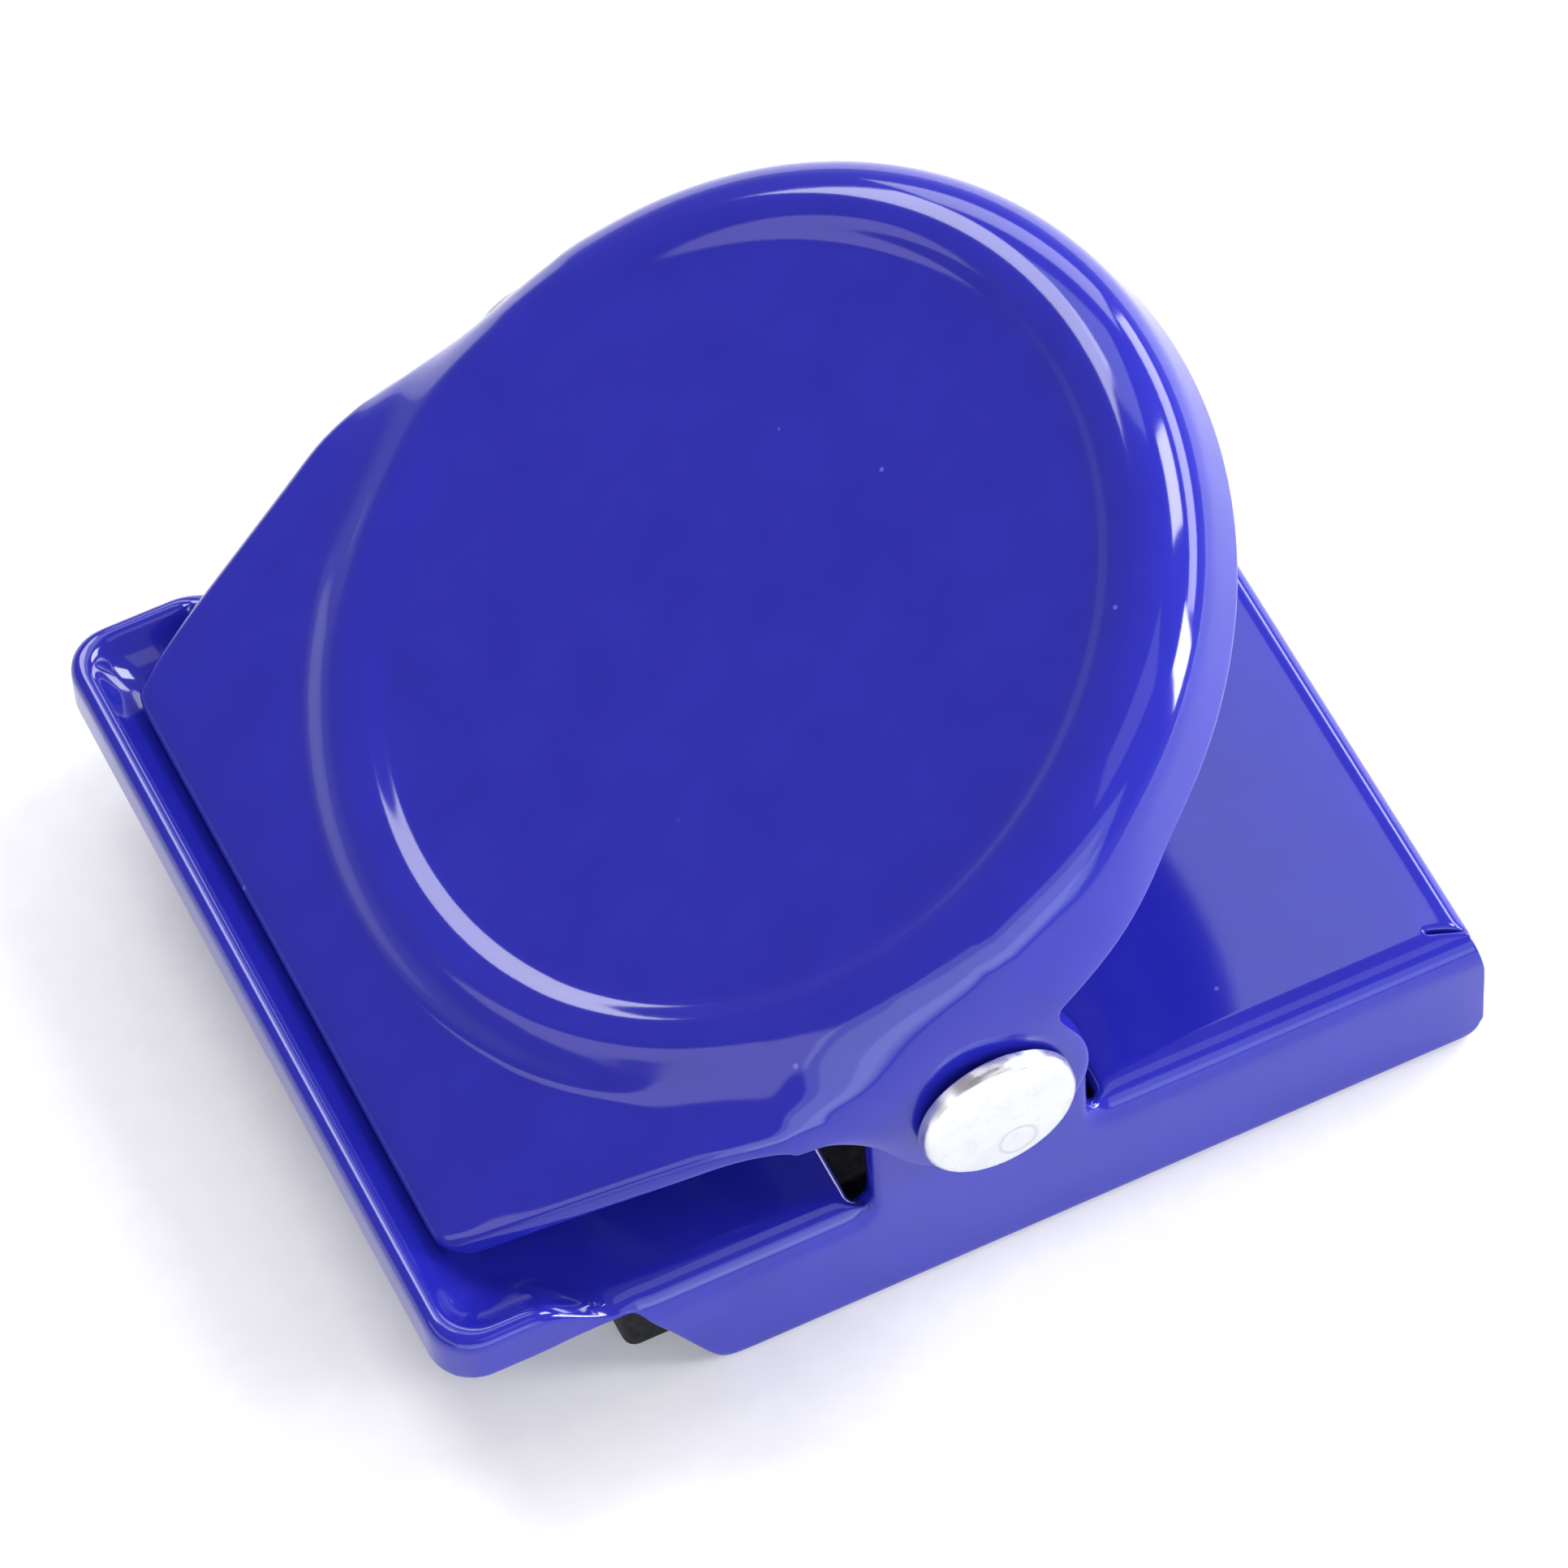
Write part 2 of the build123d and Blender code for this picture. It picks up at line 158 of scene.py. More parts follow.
deep_blue, pale_blue = (0.0120, 0.0138, 0.285), (0.0138, 0.0157, 0.308)
dust_blue = (0.09, 0.10, 0.42)
pigment = ramp(tree, noise(tree, place, 420), (0.35, deep_blue), (0.65, pale_blue))
specks = tree.nodes.new("ShaderNodeTexVoronoi")
specks.inputs["Scale"].default_value = 360
tree.links.new(place, specks.inputs["Vector"])
dust = ramp(tree, specks.outputs["Distance"], (0.024, grey(1.0)), (0.036, grey(0.0)))
tree.links.new(plain_mix(tree, dust, pigment, dust_blue), surface.inputs["Base Color"])
print("nodes for the enamel's colour:", len(tree.nodes))

# %% [markdown]
# Paint flows before it sets, which leaves shallow waves that bend the reflections. They are too shallow to
# model, so bump textures tilt the light instead, from broad waves to a fine grain.

# %% Enamel: waves from its flow
def bump(tree, surface, value, depth, strength=1.0):
    """Small relief on a surface, its depth in millimetres."""
    node = tree.nodes.new("ShaderNodeBump")
    node.inputs["Distance"].default_value = depth * MM
    node.inputs["Strength"].default_value = strength
    tree.links.new(value, node.inputs["Height"])
    if surface.inputs["Normal"].is_linked:
        tree.links.new(surface.inputs["Normal"].links[0].from_socket, node.inputs["Normal"])
    tree.links.new(node.outputs["Normal"], surface.inputs["Normal"])


bump(tree, surface, noise(tree, place, 150, 1.0), 0.2, 0.15)
bump(tree, surface, noise(tree, place, 420, 1.0), 0.03, 0.12)
bump(tree, surface, noise(tree, place, 2600, 1.0), 0.004, 0.2)
print("nodes in the enamel:", len(tree.nodes))

# %% [markdown]
# The lever is one blank of 0.8 mm sheet. A press gives it the round dish with its raised rim, turns the
# rear edge down into a skirt, and folds two ears down at the sides for the rivet. The flat nose is the
# jaw. A box could be cut and bevelled towards this form, but its round rim would hardly come out smooth.
# So the blank starts as a spun disc of rings and columns: each column runs from the middle of the dish
# to one point of the outline, and the press says where a ring and a column end up.

# %% Lever: the outline of the blank
sheet = 0.8
floor_radius = 11.85
crest_radius = 13.2
crest_height = 0.31
rim_radius = 15.3
shoulder = rim_radius - crest_radius
skirt_foot = -3.5
ear_face = 15.9
ear_rear = 1.28
ear_radius = 3.35
pin_u = -2.07
pin_w = -5.1
notch_fillet = 0.6
ear_top = -1.75
front_fillet = 1.9
front_fillet_foot = -4.4
jaw_level = -0.2
jaw_tip = -18.2
jaw_half_width = 11.8
flare_half_width = 15.5
jaw_corner = 1.6
side_points = 7
tip_points = 5


def arc(middle, radius, first, last, count, stretch=1.0):
    """Points on a circle from one angle to another, in degrees, ends included, stretched in height."""
    angles = [math.radians(first + (last - first) * i / (count - 1)) for i in range(count)]
    return [(middle[0] + radius * math.cos(a), middle[1] + stretch * radius * math.sin(a)) for a in angles]


ear_front = pin_u - ear_radius
ear_end = ear_front - front_fillet
ear_outline = arc((ear_rear + notch_fillet, skirt_foot - notch_fillet), notch_fillet, 90, 180, 5)
ear_outline += [(ear_rear, (skirt_foot + pin_w) / 2 - notch_fillet / 2)]
ear_outline += arc((pin_u, pin_w), ear_radius, 0, -180, 15)
fillet_stretch = (ear_top - front_fillet_foot) / front_fillet
ear_outline += arc((ear_end, front_fillet_foot), front_fillet, 0, 90, 8, fillet_stretch)
side_slope = math.atan2(flare_half_width - jaw_half_width, ear_end - jaw_tip)
corner_reach = jaw_corner * math.tan((math.pi / 2 - side_slope) / 2)
corner_middle = (jaw_tip + jaw_corner, jaw_half_width - corner_reach)
tip_arc = arc(corner_middle, jaw_corner, 90 + math.degrees(side_slope), 180, 6)
side_start = Vector((ear_end, flare_half_width))
jaw_outline = [tuple(side_start.lerp(tip_arc[0], i / side_points)) for i in range(1, side_points)]
jaw_outline += tip_arc
jaw_outline += [(jaw_tip, tip_arc[-1][1] * (1 - i / tip_points)) for i in range(1, tip_points + 1)]
print("points of the ear and of the jaw:", len(ear_outline), len(jaw_outline))

# %% [markdown]
# A column is an angle on the crest of the rim, the reach of the sheet in plan at that angle, and, where
# the sheet is turned down, the point of its lower edge. Near the ears the rim swells out to their faces.

# %% Lever: the columns
face_run = 1.5
swell_angles = (62, 86)
skirt_columns = 12


def ease(value, first, last):
    """A smooth step from 0 at first to 1 at last."""
    t = min(1.0, max(0.0, (value - first) / (last - first)))
    return t * t * (3 - 2 * t)


def face(u):
    """How far the side of the sheet stands from the middle plane: the ear's face, narrower at the flare."""
    return flare_half_width + (ear_face - flare_half_width) * ease(u, ear_end, pin_u - face_run)


def plan_reach(angle):
    """How far the turned-down part of the sheet reaches in plan, at an angle in degrees from the rear."""
    flat = ear_face / max(0.2, math.sin(math.radians(angle)))
    return rim_radius + (flat - rim_radius) * ease(angle, *swell_angles)


notch_angle = math.degrees(math.atan2(ear_face, ear_outline[0][0]))
columns = []
for i in range(skirt_columns):
    angle = notch_angle * i / skirt_columns
    columns.append((angle, plan_reach(angle), (None, skirt_foot)))
steps = [math.dist(a, b) for a, b in zip(ear_outline, ear_outline[1:])]
for i, (u, w) in enumerate(ear_outline):
    along = ear_outline[0][0] + (ear_end - ear_outline[0][0]) * sum(steps[:i]) / sum(steps)
    angle = math.degrees(math.atan2(face(along), along))
    reach = plan_reach(angle) if along > 0 else math.hypot(along, face(along))
    columns.append((angle, reach, (u, w)))
turned_columns = len(columns)
for u, v in jaw_outline:
    columns.append((math.degrees(math.atan2(v, u)), math.hypot(u, v), None))
half_turn = len(columns) - 1
print("columns in half a turn:", half_turn, "of them turned down:", turned_columns)

# %% [markdown]
# The press works on heights over the dish floor. The rim is a convex shoulder, and at the rear it runs on
# into the skirt and the ears. Sculpting could draw it, but arcs keep its radii true, as a press tool does.

# %% Lever: the dish's step and the turned-down shoulder
split = math.radians(64)
split_height = crest_height - shoulder * (1 - math.cos(split))
fold_level = crest_height - shoulder
least_bend = 0.3


def step_height(radius):
    """The two equal arcs from the dish floor up to the crest."""
    run = crest_radius - floor_radius
    bend = (run * run + crest_height * crest_height) / (4 * crest_height)
    low = min(radius - floor_radius, run / 2)
    high = min(crest_radius - radius, run / 2)
    if radius - floor_radius < run / 2:
        return bend - math.sqrt(bend * bend - low * low)
    return crest_height - bend + math.sqrt(bend * bend - high * high)


def turned_radius(height, reach):
    """The shoulder at a height: an arc from the crest, then a wider one that ends upright at the reach."""
    wide = max(least_bend, (reach - crest_radius - shoulder * math.sin(split)) / (1 - math.sin(split)))
    if height >= split_height:
        return crest_radius + math.sqrt(shoulder ** 2 - (height - fold_level) ** 2)
    upright = math.cos(split) - (split_height - height) / wide
    return reach - wide * (1 - math.sqrt(1 - max(0.0, upright) ** 2))


print("the rim stands over the dish floor by", round(step_height(crest_radius), 3))

# %% [markdown]
# At the front the shoulder meets the flat jaw in a hollow foot. A smooth maximum of the two heights gives
# that foot. The jaw's tip is bent down a little, and its edges are rolled under.

# %% Lever: the jaw
foot_blend = 1.2
flare_bend = 1.5
ear_bend = 2.8
bend_ahead, bend_behind = 2.0, 0.6
rim_share, rim_fall = 0.93, 3.0
strip_length, strip_angle, strip_blend = 2.3, 7, 0.8
side_roll, side_drop = 0.5, 0.6
tip_roll, tip_drop = 0.35, 0.25
roll_power = 1.5


def jaw_height(u, v):
    """The jaw with its bent side edges and tip, and the shoulder's hollow foot on it."""
    radius = min(math.hypot(u, v), crest_radius + rim_share * shoulder)
    rim = crest_height - shoulder + math.sqrt(shoulder ** 2 - (radius - crest_radius) ** 2)
    rim -= rim_fall * (math.hypot(u, v) - radius)
    inset = (face(u) - abs(v)) + min(0.0, u - ear_end) * math.tan(side_slope)
    bend = math.radians(90) * ease(u, ear_end - bend_ahead, ear_end + bend_behind)
    edge_bend = flare_bend + ear_bend * (face(u) - flare_half_width)
    over = min(max(0.0, edge_bend * math.sin(bend) - inset), edge_bend * math.sin(bend))
    plate = jaw_level - edge_bend + math.sqrt(max(0.0, edge_bend ** 2 - over ** 2))
    tip = max(0.0, jaw_tip + strip_length - u)
    plate -= math.tan(math.radians(strip_angle)) * tip * min(1.0, tip / strip_blend)
    side_over = max(0.0, 1 - inset * math.cos(side_slope) / side_roll)
    tip_over = max(0.0, 1 - (u - jaw_tip) / tip_roll)
    side_fall = side_drop * side_over ** roll_power * (1 - math.sin(bend))
    plate -= max(side_fall, tip_drop * tip_over ** roll_power)
    near = max(0.0, foot_blend - abs(rim - plate)) / foot_blend
    return max(rim, plate) + foot_blend * near * near / 4


print("the jaw's tip lies under the dish floor by", round(-jaw_height(jaw_tip, 0.0), 3))

# %% [markdown]
# The rings past the crest carry the sheet over the shoulder. Even spacing would waste faces on the flat jaw,
# so they gather at the foot of the rim and along the rolled edge, where the sheet bends most.

# %% Lever: the rings of the rim
floor_rings = [4.5, 9.6, 11.4]
step_rings = 7
rim_rings = 12
roll_rings = 3
crest_ring = len(floor_rings) + step_rings
rim_ring = crest_ring + rim_rings
roll_width = side_roll * 1.5
foot_margin, foot_share = 0.4, 0.6
split_share = 0.75
level_angles = (98, 122)
front_angles = (86, 110)


def jaw_reach(ring, angle, reach):
    """How far out a ring lies at the front: close at the rim's foot and along the rolled edge."""
    run = reach - crest_radius
    share = min(1.0, (ring - crest_ring) / rim_rings)
    foot = (rim_radius + foot_margin - crest_radius) / run
    if ring > rim_ring - roll_rings:
        level = 1 - roll_width * max(0, rim_ring - ring) / roll_rings / run
    elif share < foot_share:
        level = foot * share / foot_share
    else:
        rolled = 1 - roll_width / run
        level = foot + (rolled - foot) * (share - foot_share) / (1 - foot_share - roll_rings / rim_rings)
    flat = ease(angle, *level_angles)
    return crest_radius + run * ((1 - flat) * math.sin(share * math.pi / 2) + flat * level)


def rim_spot(ring, angle, reach):
    """The radius and the height of a ring past the crest."""
    turn = math.radians(angle)
    share = min(1.0, (ring - crest_ring) / rim_rings)
    if share < split_share:
        height = fold_level + shoulder * math.cos(split * share / split_share)
    else:
        height = split_height + (fold_level - split_height) * (share - split_share) / (1 - split_share)
    front = ease(angle, *front_angles)
    out = jaw_reach(ring, angle, reach)
    radius = (1 - front) * turned_radius(height, reach) + front * out
    return radius, (1 - front) * height + front * jaw_height(out * math.cos(turn), out * math.sin(turn))


print("rings from the middle of the dish to the end of the rim:", rim_ring + 1)

# %% [markdown]
# The skirt and the ears are folded down from the rim. Separate plates would leave a crease there, so a few
# more rings follow the shoulder's curve down to the lower edge.

# %% Lever: the press
fold_rings = 5
edge_ring, edge_share = 0.3, 0.3


def fold_spot(spot, fold, turn, reach, edge):
    """A ring of the turned-down sheet, between the end of the rim and the lower edge."""
    edge_u, edge_w = edge
    length = spot.z - edge_w if edge_u is None else math.hypot(edge_u - spot.x, edge_w - spot.z)
    last = 1 - min(edge_share, edge_ring / max(0.01, length))
    way = 1.0 if fold == fold_rings else last * fold / (fold_rings - 1)
    w = spot.z + (edge_w - spot.z) * way
    if edge_u is None:
        radius = turned_radius(w, reach)
        return Vector((radius * math.cos(turn), radius * math.sin(turn), w))
    u = spot.x + (edge_u - spot.x) * way
    slack = spot.y - turned_radius(spot.z, face(spot.x))
    return Vector((u, turned_radius(w, face(u)) + slack * (1 - way) ** 2, w))


def press(ring, angle, reach, edge):
    """The place of one ring of one column."""
    turn = math.radians(angle)
    if ring < len(floor_rings):
        radius, height = floor_rings[ring], 0.0
    elif ring <= crest_ring:
        radius = floor_radius + (crest_radius - floor_radius) * (ring - len(floor_rings)) / step_rings
        height = step_height(radius)
    else:
        radius, height = rim_spot(ring, angle, reach)
    spot = Vector((radius * math.cos(turn), radius * math.sin(turn), height))
    return fold_spot(spot, ring - rim_ring, turn, reach, edge) if ring > rim_ring else spot


print("foot of the skirt at the rear:", [round(c, 2) for c in press(rim_ring + fold_rings, *columns[0])])

# %% [markdown]
# The flat blank is a spoke that is spun into a disc, with a step for each column. Only the part that is
# turned down needs more rings, so its edge alone is extruded, and the jaw ends at its outline.

# %% Lever: spin the blank and extrude its folds
flat_rings = rim_ring + 1
turns = 2 * half_turn
blank = bmesh.new()
spoke = [blank.verts.new((1.0 + i, 0, 0)) for i in range(flat_rings)]
spoke += [blank.edges.new(pair) for pair in zip(spoke, spoke[1:])]
bmesh.ops.spin(
    blank, geom=spoke, cent=(0, 0, 0), axis=(0, 0, 1), angle=math.tau, steps=turns, use_merge=True
)


def cell(vert):
    """The ring and the column of a vertex of the flat blank, and the side it lies on."""
    column = round(math.atan2(vert.co.y, vert.co.x) / math.tau * turns) % turns
    side = 1 if column <= half_turn else -1
    return round(vert.co.xy.length) - 1, min(column, turns - column), side


rim_edges = [e for e in blank.edges if all(cell(v)[0] == flat_rings - 1 for v in e.verts)]
folds = [e for e in rim_edges if all(cell(v)[1] < turned_columns for v in e.verts)]
for i in range(fold_rings):
    grown = bmesh.ops.extrude_edge_only(blank, edges=folds)["geom"]
    folds = [g for g in grown if isinstance(g, bmesh.types.BMEdge)]
    folds = [e for e in folds if all(v in grown for v in e.verts)]
    for vert in [g for g in grown if isinstance(g, bmesh.types.BMVert)]:
        vert.co.xy *= 1 + 1 / vert.co.xy.length
middle_loop = [e for e in blank.edges if all(cell(v)[0] == 0 for v in e.verts)]
bmesh.ops.edgeloop_fill(blank, edges=middle_loop)
print("faces of the flat blank:", len(blank.faces))

# %% [markdown]
# The lever in the photograph appears a little askew on its rivet, so the jaw is skewed as it is pressed.
# Paint and press both soften a bend. A bevel would leave a band of even width, so the bend of the ears is
# smoothed instead, clear of the sheet's edges.

# %% Lever: press the blank and soften its bends
jaw_skew = 0.03
skew_run = (rim_radius - 1, rim_radius + 0.7)
bend_from, bend_to, bend_low = -10.5, 1.0, -2.6
bend_margin = 0.9
edge_clear = 0.9
soft_passes = 8
weld = 0.004
lever_tilt = 29.04
places = {}
for vert in blank.verts:
    ring, column, side = cell(vert)
    spot = press(ring, *columns[column])
    skew = jaw_skew * max(0.0, pin_u - spot.x) * ease(spot.xy.length, *skew_run)
    places[vert] = Vector((spot.x, side * spot.y + skew, spot.z))
for vert, spot in places.items():
    vert.co = spot
bmesh.ops.remove_doubles(blank, verts=blank.verts, dist=weld)
edge_spots = [v.co.copy() for v in blank.verts if v.is_boundary]
soft_part = []
for vert in blank.verts:
    in_bend = bend_from < vert.co.x < bend_to and vert.co.z > bend_low
    in_bend = in_bend and vert.co.xy.length > crest_radius + bend_margin
    if in_bend and min((vert.co - spot).length for spot in edge_spots) > edge_clear:
        soft_part.append(vert)
for i in range(soft_passes):
    bmesh.ops.smooth_vert(
        blank, verts=soft_part, factor=0.5, use_axis_x=True, use_axis_y=True, use_axis_z=True
    )
bmesh.ops.recalc_face_normals(blank, faces=blank.faces)
if max(blank.faces, key=lambda f: f.calc_area()).normal.z < 0:
    bmesh.ops.reverse_faces(blank, faces=blank.faces)
lean = Matrix.Rotation(math.radians(-lever_tilt), 4, "Y")
lever_place = Matrix.Scale(MM, 4) @ Matrix.Translation(pin) @ lean
lever_place = lever_place @ Matrix.Translation((-pin_u, 0, -pin_w))
bmesh.ops.transform(blank, matrix=lever_place, verts=blank.verts)
print("vertices softened in the bends:", len(soft_part))

# %% [markdown]
# A sheet has one thickness all over. Both faces could be modelled, but a solidify modifier keeps them true
# to each other, and a subdivision rounds them. The piece rides on the lever's body and turns with it.

# %% Lever: the finished piece
def piece(name, mesh, body, slot, material, *nodes):
    """The finished bmesh as a smooth object that rides on a body and stands for CAD nodes."""
    data = bpy.data.meshes.new(name)
    mesh.to_mesh(data)
    mesh.free()
    data.polygons.foreach_set("use_smooth", [True] * len(data.polygons))
    thing = bpy.data.objects.new(name, data)
    bpy.context.scene.collection.objects.link(thing)
    data.materials.append(material)
    if nodes:
        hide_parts(*nodes)
    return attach(thing, body) if body else thing


def soften(thing):
    """Subdivision, which rounds a pressed sheet's edges."""
    soft = thing.modifiers.new("soft_press", "SUBSURF")
    soft.levels = 2
    soft.render_levels = 2


lever = piece("lever_sheet", blank, "lever", "blue_enamel", enamel, "clamp_lever")
thick = lever.modifiers.new("sheet", "SOLIDIFY")
thick.thickness = sheet * MM
thick.offset = -1
thick.use_even_offset = True
soften(lever)
print("faces of the lever's blank:", len(lever.data.polygons))

# %% [markdown]
# The tray under the lever is folded from one sheet too. All round, its edge is turned down: at the sides
# into two walls, at the rear into a flange, and at the front into a short face under a raised bead, which
# runs round both front corners. Boxes joined at their edges would show seams where the real sheet has
# bends. A sheet that is bent but never torn can be drawn as a flat grid, so one function says where each
# row and column of the grid ends up, on the outside and on the inside of the sheet.

# %% Tray: the beaded edge
plate_top = 5.2
lip_half_width = 14.7
lip_radius = 2.5
lip_angle = math.radians(50)
bead_radius = sheet / 2
seam_gap = 0.05
seam_support = 0.15
start_row = 3
hollow_rows, bead_rows = 4, 5
face_heights = (0.1, -0.45, -sheet)
edge_rows = start_row + hollow_rows + bead_rows + len(face_heights)
lip_start = lip_half_width - bead_radius - (lip_radius + bead_radius) * math.sin(lip_angle)
bead_middle = lip_radius - (lip_radius + bead_radius) * math.cos(lip_angle)


def lip_row(row, inner):
    """How far out and how high a row of the beaded edge lies, over the plate's top."""
    step = row - start_row
    if inner:
        last = lip_half_width - seam_gap
        return lip_start + (last - lip_start) * max(0, step) / (edge_rows - start_row), -sheet
    if step <= hollow_rows:
        angle = lip_angle * step / hollow_rows
        return lip_start + lip_radius * math.sin(angle), lip_radius * (1 - math.cos(angle))
    step -= hollow_rows
    if step <= bead_rows:
        angle = (math.radians(90) + lip_angle) * (1 - step / bead_rows)
        middle = lip_half_width - bead_radius
        return middle + bead_radius * math.cos(angle), bead_middle + bead_radius * math.sin(angle)
    return lip_half_width, face_heights[step - bead_rows - 1]


print("the bead stands over the plate by", round(bead_middle + bead_radius, 3))

# %% [markdown]
# The walls are plain folds: a quarter bend and a flap below it, slanted at the front and rounded at the rear.
# Cutting them after bending could leave slivers, so each row is spaced to end on the lower edge.

# %% Tray: the folded walls
rear_edge = 17.4
wall_half_width = 15.05
wall_foot = 0.04
wall_starts = -11.3
wall_corner = 0.65
slant_top, slant_foot = (wall_starts, plate_top - 0.5), (-8.7, wall_foot)
fold_radius = 1.2
fold_start = wall_half_width - fold_radius
fold_rows_down, flap_rows = 6, 6
least_flap, least_inside = 0.3, 0.06
edge_hold, edge_hold_share = 0.35, 0.4


def wall_edge(x):
    """The height of a side wall's lower edge: slanted at the front, then level, rounded at the rear."""
    slope = (slant_top[1] - slant_foot[1]) / (slant_top[0] - slant_foot[0])
    slant = min(slant_top[1], slant_top[1] + slope * (x - slant_top[0]))
    near = max(0.0, wall_corner - abs(slant - wall_foot)) / wall_corner
    height = max(slant, wall_foot) + wall_corner * near * near / 4
    round_off = max(0.0, x - (rear_edge - wall_corner))
    return height + wall_corner - math.sqrt(max(0.0, wall_corner ** 2 - round_off ** 2))


def fold_row(row, radius, first, drop, inner):
    """How far past the bend's start, and how high, a row of a fold lies that drops so far in all."""
    quarter = radius * math.pi / 2
    length = radius * math.acos(1 - drop / radius) if drop < radius else quarter + drop - radius
    flap = max(least_flap, length - quarter)
    step = row - start_row
    way = quarter * step / fold_rows_down
    if step > fold_rows_down:
        last = flap - min(edge_hold, edge_hold_share * flap)
        past = step - fold_rows_down
        way = quarter + (last * past / (flap_rows - 1) if past < flap_rows else flap)
    way = first + (length - first) * way / (quarter + flap)
    angle = min(way, quarter) / radius
    within = max(least_inside, radius - sheet) if inner else radius
    out = within * math.sin(angle)
    up = within * math.cos(angle) - radius - max(0.0, way - quarter)
    return out if way < quarter or not inner else radius - sheet, up


print("the walls end over the floor by", round(wall_edge(0), 3))

# %% [markdown]
# Along the sides the bead fades into the plain fold. Two meshes could meet there, but a blend of the two
# sections leaves no joint. The photograph's outline fits best if the bead ends sooner on the near side, so
# each half has its own fade.

# %% Tray: from the bead to the wall
lip_fade = {1: (-13.4, -11.0), -1: (-14.5, -11.6)}
lip_corner = 2.9
corner_round = 1.5
front_edge = -17.46
corner_x = front_edge + lip_corner
corner_y = lip_half_width - lip_corner


def side_row(row, x, half, first=0.0, inner=False):
    """A row of the tray's long edge: the bead at the front, which fades into the wall's plain fold."""
    share = ease(x, *lip_fade[half])
    start = lip_start + (fold_start - lip_start) * share
    if row < start_row:
        flats = (corner_y, start - seam_gap - seam_support, start - seam_gap)
        return flats[row] + (first if row else 0.0), -sheet if inner else 0.0
    out, up = lip_row(row, inner)
    wall_out, wall_up = fold_row(row, fold_radius, first, plate_top - wall_edge(x), inner)
    return out + (fold_start + wall_out - out) * share, up + (wall_up - up) * share


def corner_share(angle):
    """How much farther the corner of a rounded square reaches at an angle than its sides do."""
    straight = 1 - corner_round / lip_corner
    along, across = math.cos(angle), math.sin(angle)
    if min(along, across) <= straight * max(along, across):
        return 1 / max(along, across)
    half = straight * (along + across)
    return half + math.sqrt(half * half - 2 * straight ** 2 + (1 - straight) ** 2)


print("the corner reaches", round(corner_share(math.pi / 4), 3), "times as far as its sides")

# %% [markdown]
# The two ears that carry the rivet are cut out of the plate, which leaves two windows, and stand up in
# line with the walls. Grid lines run along the edges of the windows and ears, so that the windows are
# deleted faces and the ears are extruded edges, which is cleaner than a boolean cut.

# %% Tray: the lines of the grid
ear_half_width = 3.65
ear_top_half_width = 1.2
ear_shoulder_height = pin.z - 1.2
ear_top_height = pin.z + 1.8
window_relief = 0.5
window_inner = 7.9
window_row = start_row + 2
wall_row = start_row + fold_rows_down
rear_radius = 0.85
rear_bend = rear_edge - rear_radius
rear_rows = fold_rows_down + flap_rows
seam_start = 16.0
seam_slant = 0.4
seam_setback = 0.3
ear_steps = [-1, -0.89, -0.7, -0.5, -0.33, -0.16, 0, 0.16, 0.33, 0.5, 0.7, 0.89, 1]
ear_stations = [pin.x + ear_half_width * step for step in ear_steps]
window_front, window_rear = ear_stations[0] - window_relief, ear_stations[-1] + window_relief
stations = [-14.1, -13.7, -13.3, -12.9, -12.5, -12.1, -11.7, wall_starts, -11.0, -10.7, -10.3]
stations += [-9.8, -9.3, -8.9, -8.5, -7.8, -6.2, -4.4, window_front] + ear_stations
stations += [window_rear, 4.9, 7.5, 11.0, 14.0, 15.3, seam_start - seam_support, seam_start]
plate_rows = [0.0, 4.0, 7.4, window_inner, 8.4, 10.2, 11.5]
half_rows = len(plate_rows) + edge_rows
columns_along = edge_rows + len(stations) + 1 + rear_rows
print("columns and rows of the tray's grid:", columns_along, 2 * half_rows)

# %% [markdown]
# Round the front corners the bead keeps its section while it turns. A bevel would round the plan but not
# carry the bead, so the rows there are turned about the corner's middle.

# %% Tray: where a crossing of the grid ends up
def front_place(front, row, inner):
    """A crossing in the front edge: straight along the front, turned round the corner's middle beside it."""
    side = row - len(plate_rows)
    depth = max(front, side)
    flats = (corner_y, lip_start - seam_gap - seam_support, lip_start - seam_gap)
    if depth < start_row:
        out, up = flats[depth], -sheet if inner else 0.0
    else:
        out, up = lip_row(depth, inner)
    out -= corner_y
    if side <= 0:
        return Vector((corner_x - out, plate_rows[row] if side < 0 else corner_y, plate_top + up))
    angle = math.radians(45 * side / front if front >= side else 90 - 45 * front / side)
    out *= corner_share(angle)
    return Vector((corner_x - out * math.cos(angle), corner_y + out * math.sin(angle), plate_top + up))


